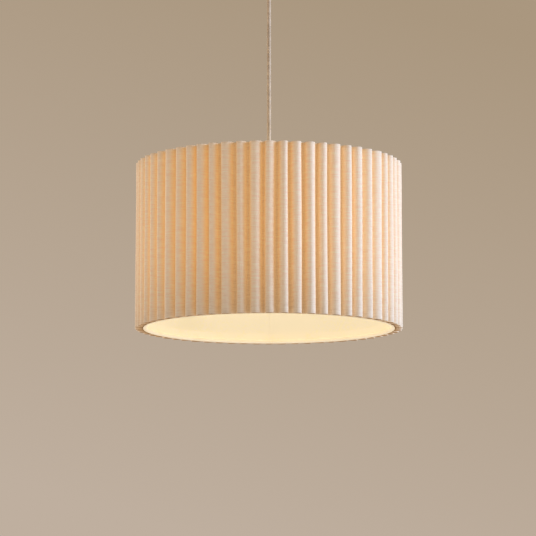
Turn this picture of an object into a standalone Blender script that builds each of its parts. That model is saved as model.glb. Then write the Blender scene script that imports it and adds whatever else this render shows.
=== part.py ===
"""Pleated drum pendant shade, with its lampholder, lamp, cord and ceiling fitting.

Metres, +Z up. The origin is on the ceiling, at the middle of the mounting bracket's
top face, and everything hangs below it on the Z axis. Azimuth 0 is +X.
"""

import math

import bmesh
import bpy
from mathutils import Vector

# --- Driving dimensions, in metres -------------------------------------------------------
SHADE_DIAMETER = 0.400        # over the pleats' crests
SHADE_HEIGHT = 0.247
HANG_LENGTH = 0.565           # ceiling to the shade's lower edge

PLEAT_COUNT = 60
PLEAT_DEPTH = 0.0108          # crest to valley floor
PLEAT_FILL = 0.85             # a fold's share of the pitch; the rest is valley floor
PLEAT_SQUARENESS = 2.6        # superellipse exponent of a fold's section
FABRIC_WALL = 0.0010

LINER_WALL = 0.0006
LAP_LENGTH = 0.012            # overlap at the liner's glued seam
LAP_RAMP = 0.010              # stretch over which the overlap steps outward
WIRE_DIAMETER = 0.0035        # top and bottom rim wires
BINDING_WALL = 0.0005
BINDING_WIDTH = 0.010         # tape on the liner's inner face, past the rim wire

SPOKE_COUNT = 3
SPOKE_DIAMETER = 0.0030
FITTER_DROP = 0.022           # shade's upper edge to the fitter's top face
FITTER_WALL = 0.0020
FITTER_RIM = 0.0085           # radial width of the fitter

LAMP_CAP_DIAMETER = 0.0264    # the Edison 27 mm screw cap
LAMP_CAP_LENGTH = 0.0195
LAMP_CAP_WALL = 0.0005
LAMP_CAP_CHAMFER = 0.0020
LAMP_CONTACT_HEIGHT = 0.0020
LAMP_CONTACT_RADIUS = 0.0046
LAMP_CONTACT_FACE = 0.0032    # radius of its flat tip
LAMP_CONTACT_CROWN = 0.0003   # how far the tip stands over the edge of that flat
LAMP_INSULATOR_HEIGHT = 0.0040
LAMP_INSULATOR_TOP = 0.0050   # radius at the contact
LAMP_INSULATOR_FOOT = 0.0100  # radius at the screw cap
LAMP_NECK_CLEARANCE = 0.0022  # lamp's neck in the skirt
LAMP_NECK_LENGTH = 0.010
LAMP_NECK_TAPER = 0.003       # height over which the body widens from the cap to the neck
LAMP_BODY_BELLY = 0.001       # how far the body stands out of a straight flare at mid-height
LAMP_BODY_LENGTH = 0.030
LAMP_DIAMETER = 0.060
LAMP_GLOBE_LENGTH = 0.050
LAMP_WALL = 0.0012
LAMP_JOINT_STEP = 0.0015      # body's and globe's meeting edge in from the lamp's widest
LED_BOARD_WALL = 0.0016
LED_BOARD_SLOPE = 0.0004      # how much less its top's radius is than its foot's
LED_BOARD_INSET = 0.0008      # its foot in from the body's wall, beside the gaps

THREAD_CLEARANCE = 0.0005     # lamp's cap in the screw shell
SCREW_SHELL_WALL = 0.0004
SHELL_MOUTH = 0.0016          # screw shell's mouth above the lamp cap's edge
SHELL_RECESS = 0.008          # screw shell's mouth above the skirt's mouth
INSERT_WALL = 0.0035
INSERT_DISC = 0.008
SKIRT_WALL = 0.0018
SKIRT_IN_CAP = 0.012
HOLDER_CAP_WALL = 0.0024
HOLDER_CAP_HEIGHT = 0.030
CONTACT_THICKNESS = 0.0015
SHADE_RING_HEIGHT = 0.010
SHADE_RING_WALL = 0.0065

CORD_DIAMETER = 0.0060
CORD_SWAY_ROOM = 0.0015       # left between a cord's end and the piece it bends at
GRIP_WALL = 0.0035
GRIP_HEIGHT = 0.016
GRIP_STUB_WALL = 0.0015

CANOPY_DIAMETER = 0.100
CANOPY_HEIGHT = 0.043
CANOPY_WALL = 0.0015
CANOPY_EDGE_RADIUS = 0.006
COLLAR_WALL = 0.005
COLLAR_HEIGHT = 0.012         # below the canopy
COLLAR_STUB_WALL = 0.0022
COLLAR_NUT_HEIGHT = 0.003

BRACKET_CLEARANCE = 0.0055    # bracket's end to the canopy's wall
BRACKET_WIDTH = 0.016
BRACKET_WALL = 0.0020
SLOT_INSET = 0.013            # a ceiling slot's middle from the bracket's end
SLOT_RADIUS = 0.0023
CLAMP_BACK_WALL = 0.0045      # jaw behind the cord
CLAMP_BACK_HEIGHT = 0.024
CLAMP_FRONT_HEIGHT = 0.013
CLAMP_SCREW_INSET = 0.004     # a screw's axis from the cord's side, and from the jaw's end
SCREW_DIAMETER = 0.0028
TERMINAL_LENGTH = 0.018
TERMINAL_WIDTH = 0.0150
TERMINAL_HEIGHT = 0.0130
TERMINAL_REACH = 0.018        # clamp's end to the terminal block's middle
TERMINAL_SCREW_RADIUS = 0.0014
CORE_DIAMETER = 0.0018
SET_SCREW_RADIUS = 0.0015

GAP = 0.0003                  # between faces that touch on the real object
OVERCUT = 0.002       # how far a cutter runs past the face it opens

RIM_STEPS = 48                # facets of the shade's round pieces
SMALL_STEPS = 32              # facets of the lampholder, lamp and canopy

# --- Places worked out from them ---------------------------------------------------------
SHADE_BOTTOM = -HANG_LENGTH
SHADE_TOP = SHADE_BOTTOM + SHADE_HEIGHT
VALLEY_RADIUS = SHADE_DIAMETER / 2 - PLEAT_DEPTH
LINER_RADIUS = VALLEY_RADIUS - FABRIC_WALL - GAP - (LINER_WALL + GAP)
LINER_BORE = LINER_RADIUS - LINER_WALL
LINER_EDGE = BINDING_WALL + GAP               # liner's edge in from the shade's edge
RIM_WIRE_RADIUS = LINER_BORE - GAP - WIRE_DIAMETER / 2
RIM_WIRE_INSET = LINER_EDGE + WIRE_DIAMETER / 2

FITTER_TOP = SHADE_TOP - FITTER_DROP
FITTER_BOTTOM = FITTER_TOP - FITTER_WALL
SKIRT_TOP = FITTER_TOP + SKIRT_IN_CAP
HOLDER_CAP_BOTTOM = FITTER_TOP + GAP
HOLDER_CAP_TOP = HOLDER_CAP_BOTTOM + HOLDER_CAP_HEIGHT
CONTACT_PLANE = SKIRT_TOP - INSERT_DISC
LAMP_TOP = CONTACT_PLANE - GAP - CONTACT_THICKNESS - GAP
LAMP_CAP_TOP = LAMP_TOP - LAMP_CONTACT_HEIGHT - LAMP_INSULATOR_HEIGHT
LAMP_CAP_BOTTOM = LAMP_CAP_TOP - LAMP_CAP_LENGTH
LAMP_BODY_TOP = LAMP_CAP_BOTTOM - GAP
LAMP_BODY_BOTTOM = LAMP_BODY_TOP - LAMP_BODY_LENGTH
SHELL_BOTTOM = LAMP_CAP_BOTTOM + SHELL_MOUTH
SKIRT_BOTTOM = SHELL_BOTTOM - SHELL_RECESS

SHELL_BORE = LAMP_CAP_DIAMETER / 2 + THREAD_CLEARANCE
SHELL_RADIUS = SHELL_BORE + SCREW_SHELL_WALL
INSERT_BORE = SHELL_RADIUS + GAP
INSERT_RADIUS = INSERT_BORE + INSERT_WALL
SKIRT_BORE = INSERT_RADIUS + GAP
SKIRT_RADIUS = SKIRT_BORE + SKIRT_WALL
FITTER_BORE = SKIRT_RADIUS + GAP
LAMP_NECK_RADIUS = SKIRT_BORE - LAMP_NECK_CLEARANCE

CORD_RADIUS = CORD_DIAMETER / 2
CORD_BORE = CORD_RADIUS + GAP
GRIP_RADIUS = CORD_RADIUS + GRIP_WALL
GRIP_STUB_RADIUS = CORD_BORE + GRIP_STUB_WALL
COLLAR_RADIUS = CORD_RADIUS + COLLAR_WALL
COLLAR_STUB_RADIUS = CORD_BORE + COLLAR_STUB_WALL
GRIP_TOP = HOLDER_CAP_TOP + GAP + GRIP_HEIGHT
COLLAR_BOTTOM = -CANOPY_HEIGHT - GAP - COLLAR_HEIGHT
CORD_TOP = COLLAR_BOTTOM - CORD_SWAY_ROOM
CORD_BOTTOM = GRIP_TOP + CORD_SWAY_ROOM
CLAMP_TOP = -BRACKET_WALL - GAP
CLAMP_BOTTOM = CLAMP_TOP - CLAMP_BACK_HEIGHT
CLAMP_FRONT_TOP = CLAMP_BOTTOM + CLAMP_FRONT_HEIGHT
CLAMP_SCREW_OFFSET = CORD_RADIUS + CLAMP_SCREW_INSET
CLAMP_HALF_LENGTH = CLAMP_SCREW_OFFSET + CLAMP_SCREW_INSET
CLAMP_DEPTH = CORD_RADIUS + CLAMP_BACK_WALL
CLAMP_SCREW_LEVEL = CLAMP_BOTTOM + CLAMP_FRONT_HEIGHT / 2
INNER_CORD_TOP = CLAMP_FRONT_TOP
TERMINAL_TOP = -BRACKET_WALL - GAP
TERMINAL_BOTTOM = TERMINAL_TOP - TERMINAL_HEIGHT
TERMINAL_LEVEL = (TERMINAL_TOP + TERMINAL_BOTTOM) / 2
TERMINAL_OFFSET = CLAMP_HALF_LENGTH + TERMINAL_REACH
BRACKET_HALF_LENGTH = CANOPY_DIAMETER / 2 - CANOPY_WALL - BRACKET_CLEARANCE
SET_SCREW_LEVEL = -CANOPY_HEIGHT - GAP - COLLAR_HEIGHT / 2

PITCH = 2 * math.pi / PLEAT_COUNT
FIRST_SEAM = PITCH / 2        # the cover's two halves meet in a valley, at the sides
LINER_SEAM = math.pi / 2      # at the back
FIRST_SPOKE = math.pi / 2


# --- Scene, collections, materials -------------------------------------------------------
for old in list(bpy.data.objects):
    bpy.data.objects.remove(old, do_unlink=True)

parts = bpy.data.collections.new("pleated_pendant_shade")
cutters = bpy.data.collections.new("cutters")
for collection in (parts, cutters):
    bpy.context.scene.collection.children.link(collection)


def material(name, colour, roughness, metallic=0.0):
    """A Principled material of one colour, given as linear RGB."""
    made = bpy.data.materials.new(name)
    made.use_nodes = True
    shader = made.node_tree.nodes["Principled BSDF"]
    shader.inputs["Base Color"].default_value = (*colour, 1.0)
    shader.inputs["Roughness"].default_value = roughness
    shader.inputs["Metallic"].default_value = metallic
    made.diffuse_color = (*colour, 1.0)
    return made


def pivot(name, height, parent=None):
    """An empty on the axis of the joint that moves one body."""
    empty = bpy.data.objects.new(name, None)
    empty.empty_display_size = 0.02
    parts.objects.link(empty)
    empty.location = (0, 0, height)
    if parent:
        empty.parent = parent
        empty.matrix_parent_inverse = parent.matrix_world.inverted()
    bpy.context.view_layer.update()
    return empty


def finish(obj, finish_material, body=None):
    """Puts a sub-part in the object's collection, with its material, under its body."""
    for collection in list(obj.users_collection):
        collection.objects.unlink(obj)
    parts.objects.link(obj)
    obj.data.materials.clear()
    obj.data.materials.append(finish_material)
    if body:
        obj.parent = body
        obj.matrix_parent_inverse = body.matrix_world.inverted()
    return obj


# --- Shapes ------------------------------------------------------------------------------
def mesh_object(name, bm):
    """A new object from a bmesh, which is freed."""
    mesh = bpy.data.meshes.new(name)
    bm.to_mesh(mesh)
    bm.free()
    obj = bpy.data.objects.new(name, mesh)
    parts.objects.link(obj)
    return obj


def line_mesh(name, points, closed=False):
    """A chain of edges through the points."""
    bm = bmesh.new()
    verts = [bm.verts.new(p) for p in points]
    ends = verts[1:] + (verts[:1] if closed else [])
    for a, b in zip(verts, ends):
        bm.edges.new((a, b))
    return mesh_object(name, bm)


def turned(name, profile, steps=SMALL_STEPS):
    """A solid of revolution. The profile (radius, z) runs down the outer side, and then,
    on a hollow piece, back up the inner side. One that starts and ends on the axis is solid."""
    on_axis = profile[0][0] == 0 and profile[-1][0] == 0
    obj = line_mesh(name, [(r, 0, z) for r, z in profile], closed=not on_axis)
    add_screw(obj, steps)
    return obj


def turned_sheet(name, path, wall, steps=RIM_STEPS):
    """A thin shell of revolution: a path (radius, z) with half its wall on each side."""
    obj = line_mesh(name, [(r, 0, z) for r, z in path])
    add_screw(obj, steps)
    thicken(obj, wall, offset=0)
    return obj


def add_screw(obj, steps):
    screw = obj.modifiers.new("Screw", "SCREW")
    screw.steps = steps
    screw.render_steps = steps
    screw.use_merge_vertices = True
    screw.merge_threshold = 0.00001
    screw.use_smooth_shade = True


def thicken(obj, wall, offset=-1):
    """Gives an open surface its wall, on the side its normals point away from."""
    solid = obj.modifiers.new("Solidify", "SOLIDIFY")
    solid.thickness = wall
    solid.offset = offset
    solid.use_even_offset = True


def upright_wall(name, path, bottom, height, wall):
    """A wall that stands on a path (x, y) laid counter-clockwise, thickened inward."""
    bm = bmesh.new()
    lower = [bm.verts.new((x, y, bottom)) for x, y in path]
    upper = [bm.verts.new((x, y, bottom + height)) for x, y in path]
    for i in range(len(path) - 1):
        bm.faces.new((lower[i], lower[i + 1], upper[i + 1], upper[i]))
    obj = mesh_object(name, bm)
    thicken(obj, wall)
    return obj


def tube(name, points, radius, resolution=2):
    """A round wire or cord through the points, with flat ends."""
    curve = bpy.data.curves.new(name, "CURVE")
    curve.dimensions = "3D"
    curve.bevel_depth = radius
    curve.bevel_resolution = resolution
    curve.use_fill_caps = True
    spline = curve.splines.new("POLY")
    spline.points.add(len(points) - 1)
    for point, place in zip(spline.points, points):
        point.co = (*place, 1.0)
    obj = bpy.data.objects.new(name, curve)
    parts.objects.link(obj)
    return obj


def straight(top, bottom, spacing):
    """Points down the Z axis, no further apart than the spacing."""
    count = max(2, math.ceil((top - bottom) / spacing) + 1)
    return [(0, 0, top + (bottom - top) * i / (count - 1)) for i in range(count)]


def box(name, low, high, bevel=0.0):
    """A block between two corners, with its edges rounded off once if a bevel is given."""
    low, high = Vector(low), Vector(high)
    bm = bmesh.new()
    bmesh.ops.create_cube(bm, size=1)
    bmesh.ops.scale(bm, vec=high - low, verts=bm.verts)
    bmesh.ops.translate(bm, vec=(low + high) / 2, verts=bm.verts)
    obj = mesh_object(name, bm)
    if bevel:
        rounding = obj.modifiers.new("Bevel", "BEVEL")
        rounding.width = bevel
        rounding.segments = 1
    return obj


def cylinder(name, start, end, radius, steps=16):
    """A round bar between two points."""
    start, end = Vector(start), Vector(end)
    bm = bmesh.new()
    bmesh.ops.create_cone(bm, cap_ends=True, segments=steps, radius1=radius,
                          radius2=radius, depth=(end - start).length)
    turn = Vector((0, 0, 1)).rotation_difference(end - start).to_matrix()
    bmesh.ops.rotate(bm, matrix=turn, verts=bm.verts)
    bmesh.ops.translate(bm, vec=(start + end) / 2, verts=bm.verts)
    return mesh_object(name, bm)


def cut(obj, cutter):
    """Takes the cutter's shape out of the object and hides the cutter."""
    for collection in list(cutter.users_collection):
        collection.objects.unlink(cutter)
    cutters.objects.link(cutter)
    cutter.hide_render = True
    cutter.display_type = "WIRE"
    boolean = obj.modifiers.new(cutter.name, "BOOLEAN")
    boolean.operation = "DIFFERENCE"
    boolean.solver = "EXACT"
    boolean.object = cutter


def polar(radius, angle):
    return radius * math.cos(angle), radius * math.sin(angle)


def arc(centre_r, centre_z, radius, start, end, segments):
    """Points (radius, z) along an arc, its angles in degrees from +r towards +z."""
    points = []
    for i in range(segments + 1):
        a = math.radians(start + (end - start) * i / segments)
        points.append((centre_r + radius * math.cos(a), centre_z + radius * math.sin(a)))
    return points


# --- Materials ---------------------------------------------------------------------------
LINEN = material("linen", (0.80, 0.70, 0.57), 0.90)
STYRENE = material("styrene_liner", (0.86, 0.78, 0.62), 0.55)
TAPE = material("binding_tape", (0.85, 0.76, 0.60), 0.85)
POWDER_WHITE = material("powder_coated_steel", (0.78, 0.76, 0.72), 0.45)
HOLDER_PLASTIC = material("white_thermoplastic", (0.82, 0.80, 0.75), 0.35)
PORCELAIN = material("steatite", (0.86, 0.85, 0.82), 0.30)
BRASS = material("brass", (0.72, 0.53, 0.24), 0.30, 1.0)
NICKEL = material("nickel_plated_brass", (0.66, 0.63, 0.58), 0.25, 1.0)
ZINC_STEEL = material("zinc_plated_steel", (0.56, 0.57, 0.58), 0.38, 1.0)
BLACK_GLASS = material("vitrite", (0.02, 0.02, 0.025), 0.12)
LAMP_PLASTIC = material("lamp_body", (0.86, 0.85, 0.83), 0.40)
OPAL = material("opal_globe", (0.95, 0.90, 0.80), 0.30)
BOARD = material("led_board", (0.85, 0.86, 0.84), 0.50)
CORD_TEXTILE = material("cord_textile", (0.56, 0.45, 0.34), 0.90)
CORE_BROWN = material("core_brown", (0.16, 0.06, 0.02), 0.45)
CORE_BLUE = material("core_blue", (0.02, 0.12, 0.42), 0.45)
TERMINAL_NYLON = material("terminal_nylon", (0.82, 0.81, 0.78), 0.50)

# --- Joint axes --------------------------------------------------------------------------
cord_pivot = pivot("cord_pivot", COLLAR_BOTTOM)
grip_pivot = pivot("grip_pivot", GRIP_TOP, cord_pivot)
holder_pivot = pivot("holder_pivot", HOLDER_CAP_TOP, grip_pivot)
ring_pivot = pivot("ring_pivot", FITTER_BOTTOM, holder_pivot)
shade_pivot = pivot("shade_pivot", FITTER_TOP, ring_pivot)
lamp_pivot = pivot("lamp_pivot", LAMP_TOP, holder_pivot)


# --- Shade -------------------------------------------------------------------------------
def fold(centre, facets=6):
    """One fold's outer section (x, y), a superellipse from valley floor to valley floor."""
    power = 2 / PLEAT_SQUARENESS
    points = []
    for i in range(facets + 1):
        t = -math.pi / 2 + math.pi * i / facets
        across = math.copysign(abs(math.sin(t)) ** power, t) * PLEAT_FILL * PITCH / 2
        points.append(polar(VALLEY_RADIUS + PLEAT_DEPTH * max(math.cos(t), 0) ** power,
                            centre + across))
    return points


def pleated_cover(name, start):
    """Half of the cover: folds between two seams, each seam in the middle of a valley."""
    folds = PLEAT_COUNT // 2
    clearance = GAP / 2 / VALLEY_RADIUS
    path = [polar(VALLEY_RADIUS, start + clearance)]
    for i in range(folds):
        path += fold(start + (i + 0.5) * PITCH)
    path.append(polar(VALLEY_RADIUS, start + folds * PITCH - clearance))
    cover = upright_wall(name, path, SHADE_BOTTOM, SHADE_HEIGHT, FABRIC_WALL)
    return finish(cover, LINEN, shade_pivot)


def liner():
    """The hard-back drum: one sheet, rolled, its end lapped over its start at the back."""
    step = LINER_WALL + GAP
    turn = 2 * math.pi
    ramp, lap = LAP_RAMP / LINER_RADIUS, LAP_LENGTH / LINER_RADIUS
    angles = [turn * i / RIM_STEPS for i in range(RIM_STEPS) if turn * i / RIM_STEPS < turn - ramp]
    path = [polar(LINER_RADIUS, LINER_SEAM + a) for a in angles]
    path.append(polar(LINER_RADIUS, LINER_SEAM + turn - ramp))
    for part in (0, 0.5, 1):
        path.append(polar(LINER_RADIUS + step, LINER_SEAM + turn + part * lap))
    wall = upright_wall("liner", path, SHADE_BOTTOM + LINER_EDGE,
                        SHADE_HEIGHT - 2 * LINER_EDGE, LINER_WALL)
    return finish(wall, STYRENE, shade_pivot)


def rim_wire(name, height):
    """A welded wire ring, hard against the liner's inner face."""
    section = arc(RIM_WIRE_RADIUS, height, WIRE_DIAMETER / 2, 90, -270, 6)[:-1]
    return finish(turned(name, section, RIM_STEPS), POWDER_WHITE, shade_pivot)


def rim_binding(name, edge, inward):
    """Tape glued up the liner's inner face, round the rim wire and under the liner's edge.
    inward is the way into the shade from this edge: 1 at the bottom and -1 at the top."""
    centre = edge + inward * RIM_WIRE_INSET
    wrap = WIRE_DIAMETER / 2 + GAP + BINDING_WALL / 2
    flat = LINER_BORE - GAP - BINDING_WALL / 2
    meet = math.degrees(math.acos((flat - RIM_WIRE_RADIUS) / wrap))
    path = [(flat, centre + inward * (wrap + BINDING_WIDTH))]
    path += arc(RIM_WIRE_RADIUS, centre, wrap, inward * meet, inward * 270, 4)
    path.append((LINER_RADIUS, edge + inward * BINDING_WALL / 2))
    return finish(turned_sheet(name, path, BINDING_WALL), TAPE, shade_pivot)


def spokes(binding):
    """Wires from the top rim wire down to the fitter, each through a notch in the tape."""
    outer = RIM_WIRE_RADIUS - WIRE_DIAMETER / 2 - GAP
    inner = FITTER_BORE + FITTER_RIM + GAP
    high, low = SHADE_TOP - RIM_WIRE_INSET, FITTER_TOP - FITTER_WALL / 2
    stops = 10
    for n in range(SPOKE_COUNT):
        angle = FIRST_SPOKE + 2 * math.pi * n / SPOKE_COUNT
        points = []
        for i in range(stops + 1):
            t = i / stops
            ease = t * t * (3 - 2 * t)
            points.append((*polar(outer + (inner - outer) * t, angle), high + (low - high) * ease))
        finish(tube(f"spoke_{n + 1}", points, SPOKE_DIAMETER / 2), POWDER_WHITE, shade_pivot)
        notch_end = outer - 3 * WIRE_DIAMETER
        cut(binding, cylinder(f"spoke_notch_{n + 1}", (*polar(outer + GAP / 2, angle), high),
                              (*polar(notch_end, angle), high), SPOKE_DIAMETER / 2 + GAP))


def fitter():
    """The flat ring that sits on the lampholder's skirt."""
    outer = FITTER_BORE + FITTER_RIM
    ring = turned("fitter_ring", [(outer, FITTER_TOP), (outer, FITTER_BOTTOM),
                                  (FITTER_BORE, FITTER_BOTTOM), (FITTER_BORE, FITTER_TOP)])
    return finish(ring, POWDER_WHITE, shade_pivot)


pleated_cover("cover_back", FIRST_SEAM)
pleated_cover("cover_front", FIRST_SEAM + math.pi)
liner()
rim_wire("top_rim_wire", SHADE_TOP - RIM_WIRE_INSET)
rim_wire("bottom_rim_wire", SHADE_BOTTOM + RIM_WIRE_INSET)
top_binding = rim_binding("top_binding", SHADE_TOP, -1)
rim_binding("bottom_binding", SHADE_BOTTOM, 1)
spokes(top_binding)
fitter()


# --- Lampholder --------------------------------------------------------------------------
def holder_cap():
    """The domed upper shell. Its rim presses on the fitter from above."""
    bore, shell = SKIRT_RADIUS + GAP, SKIRT_RADIUS + GAP + HOLDER_CAP_WALL
    hole = GRIP_STUB_RADIUS + GAP
    round_off = HOLDER_CAP_HEIGHT / 2
    top, shoulder = HOLDER_CAP_TOP, HOLDER_CAP_TOP - round_off
    outside = [(hole, top)] + arc(shell - round_off, shoulder, round_off, 90, 0, 4)
    inside = arc(shell - round_off, shoulder, round_off - HOLDER_CAP_WALL, 0, 90, 3)
    profile = outside + [(shell, HOLDER_CAP_BOTTOM), (bore, HOLDER_CAP_BOTTOM)] + inside
    profile.append((hole, top - HOLDER_CAP_WALL))
    return finish(turned("holder_cap", profile), HOLDER_PLASTIC, holder_pivot)


def holder_skirt():
    """The lower shell, threaded outside for the shade ring."""
    profile = [(SKIRT_RADIUS, SKIRT_TOP), (SKIRT_RADIUS, SKIRT_BOTTOM),
               (SKIRT_BORE, SKIRT_BOTTOM), (SKIRT_BORE, SKIRT_TOP)]
    return finish(turned("holder_skirt", profile), HOLDER_PLASTIC, holder_pivot)


def holder_insert():
    """The steatite cup that carries the contacts, inside the skirt."""
    profile = [(0, SKIRT_TOP), (INSERT_RADIUS, SKIRT_TOP), (INSERT_RADIUS, SHELL_BOTTOM),
               (INSERT_BORE, SHELL_BOTTOM), (INSERT_BORE, CONTACT_PLANE), (0, CONTACT_PLANE)]
    return finish(turned("holder_insert", profile), PORCELAIN, holder_pivot)


def screw_shell():
    """The lamp's threaded brass sleeve."""
    top = CONTACT_PLANE - GAP
    profile = [(SHELL_RADIUS, top), (SHELL_RADIUS, SHELL_BOTTOM),
               (SHELL_BORE, SHELL_BOTTOM), (SHELL_BORE, top)]
    return finish(turned("screw_shell", profile), BRASS, holder_pivot)


def centre_contact():
    """The sprung tongue that the lamp's tip touches."""
    top = CONTACT_PLANE - GAP
    low = top - CONTACT_THICKNESS
    tongue = box("centre_contact", (-0.008, -0.003, low), (0.004, 0.003, top), 0.0004)
    return finish(tongue, BRASS, holder_pivot)


def cord_grip():
    """The gland that holds the cord above the cap. The cord's bore runs through it."""
    radius, stub, bore = GRIP_RADIUS, GRIP_STUB_RADIUS, CORD_BORE
    shoulder = GRIP_TOP - 0.35 * GRIP_HEIGHT
    base = HOLDER_CAP_TOP + GAP
    stub_end = HOLDER_CAP_TOP - HOLDER_CAP_WALL - GAP
    profile = [(bore, GRIP_TOP), (radius * 0.72, GRIP_TOP), (radius * 0.92, shoulder),
               (radius, shoulder), (radius, base), (stub, base), (stub, stub_end), (bore, stub_end)]
    return finish(turned("cord_grip", profile), HOLDER_PLASTIC, grip_pivot)


def shade_ring():
    """The threaded ring that presses the fitter up against the cap."""
    top = FITTER_BOTTOM - GAP
    bore, radius = SKIRT_RADIUS + GAP, SKIRT_RADIUS + GAP + SHADE_RING_WALL
    neck = bore + SHADE_RING_WALL * 0.45
    flange = top - SHADE_RING_HEIGHT * 0.4
    bottom = top - SHADE_RING_HEIGHT
    profile = [(radius, top), (radius, flange), (neck, flange), (neck, bottom), (bore, bottom), (bore, top)]
    return finish(turned("shade_ring", profile), HOLDER_PLASTIC, ring_pivot)


holder_cap()
holder_skirt()
holder_insert()
screw_shell()
centre_contact()
cord_grip()
shade_ring()


# --- Lamp --------------------------------------------------------------------------------
def lamp_contact():
    """The tip, a low rivet on the insulator."""
    low = LAMP_TOP - LAMP_CONTACT_HEIGHT + GAP
    profile = [(0, LAMP_TOP), (LAMP_CONTACT_FACE, LAMP_TOP - LAMP_CONTACT_CROWN),
               (LAMP_CONTACT_RADIUS, low), (0, low)]
    return finish(turned("lamp_contact", profile, 20), NICKEL, lamp_pivot)


def lamp_insulator():
    """Black glass between the tip and the screw cap."""
    top, bottom = LAMP_TOP - LAMP_CONTACT_HEIGHT, LAMP_CAP_TOP + GAP
    profile = [(0, top), (LAMP_INSULATOR_TOP, top), (LAMP_INSULATOR_FOOT, bottom), (0, bottom)]
    return finish(turned("lamp_insulator", profile, 24), BLACK_GLASS, lamp_pivot)


def lamp_cap():
    """The screw cap, a thin pressed cup with its opening downwards."""
    radius = LAMP_CAP_DIAMETER / 2
    bore = radius - LAMP_CAP_WALL
    under = LAMP_CAP_TOP - LAMP_CAP_WALL
    chamfer, inner_chamfer = LAMP_CAP_CHAMFER, LAMP_CAP_CHAMFER - LAMP_CAP_WALL / 2
    profile = [(0, LAMP_CAP_TOP), (radius - chamfer, LAMP_CAP_TOP),
               (radius, LAMP_CAP_TOP - chamfer), (radius, LAMP_CAP_BOTTOM),
               (bore, LAMP_CAP_BOTTOM), (bore, under - inner_chamfer),
               (bore - inner_chamfer, under), (0, under)]
    return finish(turned("lamp_cap", profile), NICKEL, lamp_pivot)


def lamp_body():
    """The moulded body: a neck that enters the skirt, flaring to the globe."""
    wall, neck, cap = LAMP_WALL, LAMP_NECK_RADIUS, LAMP_CAP_DIAMETER / 2
    wide = LAMP_DIAMETER / 2 - LAMP_JOINT_STEP
    low, neck_end = LAMP_BODY_BOTTOM, LAMP_BODY_TOP - LAMP_NECK_LENGTH
    shoulder, middle = LAMP_BODY_TOP - LAMP_NECK_TAPER, (neck_end + low) / 2
    belly = (neck + wide) / 2 + LAMP_BODY_BELLY
    profile = [(cap, LAMP_BODY_TOP), (neck, shoulder), (neck, neck_end), (belly, middle),
               (wide, low), (wide - wall, low), (belly - wall, middle),
               (neck - wall, neck_end), (neck - wall, shoulder), (cap - wall, LAMP_BODY_TOP)]
    return finish(turned("lamp_body", profile), LAMP_PLASTIC, lamp_pivot)


def led_board():
    """The round board across the body's mouth."""
    bore = LAMP_DIAMETER / 2 - LAMP_JOINT_STEP - LAMP_WALL
    radius = bore - 2 * GAP - LED_BOARD_INSET
    top = LAMP_BODY_BOTTOM + LED_BOARD_WALL
    profile = [(0, top), (radius - LED_BOARD_SLOPE, top), (radius, LAMP_BODY_BOTTOM),
               (0, LAMP_BODY_BOTTOM)]
    return finish(turned("led_board", profile, 24), BOARD, lamp_pivot)


def lamp_globe():
    """The opal globe, open at its neck."""
    radius = LAMP_DIAMETER / 2
    top = LAMP_BODY_BOTTOM - GAP
    neck = radius - LAMP_JOINT_STEP
    centre = top - (LAMP_GLOBE_LENGTH - radius)
    inside = arc(0, centre, radius - LAMP_WALL, -90, 0, 5) + [(neck - LAMP_WALL, top)]
    outside = [(neck, top)] + arc(0, centre, radius, 0, -90, 6)
    inside[0], outside[-1] = (0, inside[0][1]), (0, outside[-1][1])
    return finish(turned("lamp_globe", inside + outside), OPAL, lamp_pivot)


lamp_contact()
lamp_insulator()
lamp_cap()
lamp_body()
led_board()
lamp_globe()


# --- Cord and ceiling fitting ------------------------------------------------------------
def cord():
    """The free cord, from the canopy's collar to the lampholder's grip."""
    points = straight(CORD_TOP, CORD_BOTTOM, 2.5 * CORD_DIAMETER)
    return finish(tube("cord", points, CORD_RADIUS, 3), CORD_TEXTILE, cord_pivot)


def inner_cord():
    """The same cord inside the canopy, from the clamp to the collar."""
    points = straight(INNER_CORD_TOP, COLLAR_BOTTOM + GAP, 2.5 * CORD_DIAMETER)
    return finish(tube("inner_cord", points, CORD_RADIUS, 3), CORD_TEXTILE)


def core(name, bends, side, finish_material):
    """An insulated core, from the cord's end forward of the clamp and into its terminal.
    bends are (x, y, height over the cord's end); the last stretch is at the terminal's level."""
    face = TERMINAL_OFFSET - TERMINAL_LENGTH / 2 - GAP
    across = side * TERMINAL_WIDTH / 4
    level = TERMINAL_LEVEL
    points = [(x, y, INNER_CORD_TOP + rise) for x, y, rise in bends]
    clamp_side = CLAMP_HALF_LENGTH + CORE_DIAMETER
    points += [(clamp_side, points[-1][1], level), (face - 0.0025, across, level), (face, across, level)]
    return finish(tube(name, points, CORE_DIAMETER / 2), finish_material)


def clamp_half(name, near, far, top):
    """One jaw of the cord clamp, grooved for the cord and drilled for two screws."""
    low, high = min(near, far), max(near, far)
    half = CLAMP_HALF_LENGTH
    jaw = box(name, (-half, low, CLAMP_BOTTOM), (half, high, top), 0.0005)
    over = OVERCUT
    cut(jaw, cylinder(f"{name}_groove", (0, 0, CLAMP_BOTTOM - over), (0, 0, top + over),
                      CORD_BORE))
    for side in (-1, 1):
        x = side * CLAMP_SCREW_OFFSET
        cut(jaw, cylinder(f"{name}_hole_{side}", (x, low - over, CLAMP_SCREW_LEVEL),
                          (x, high + over, CLAMP_SCREW_LEVEL), SCREW_DIAMETER / 2 + GAP, 12))
    return finish(jaw, TERMINAL_NYLON)


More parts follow.
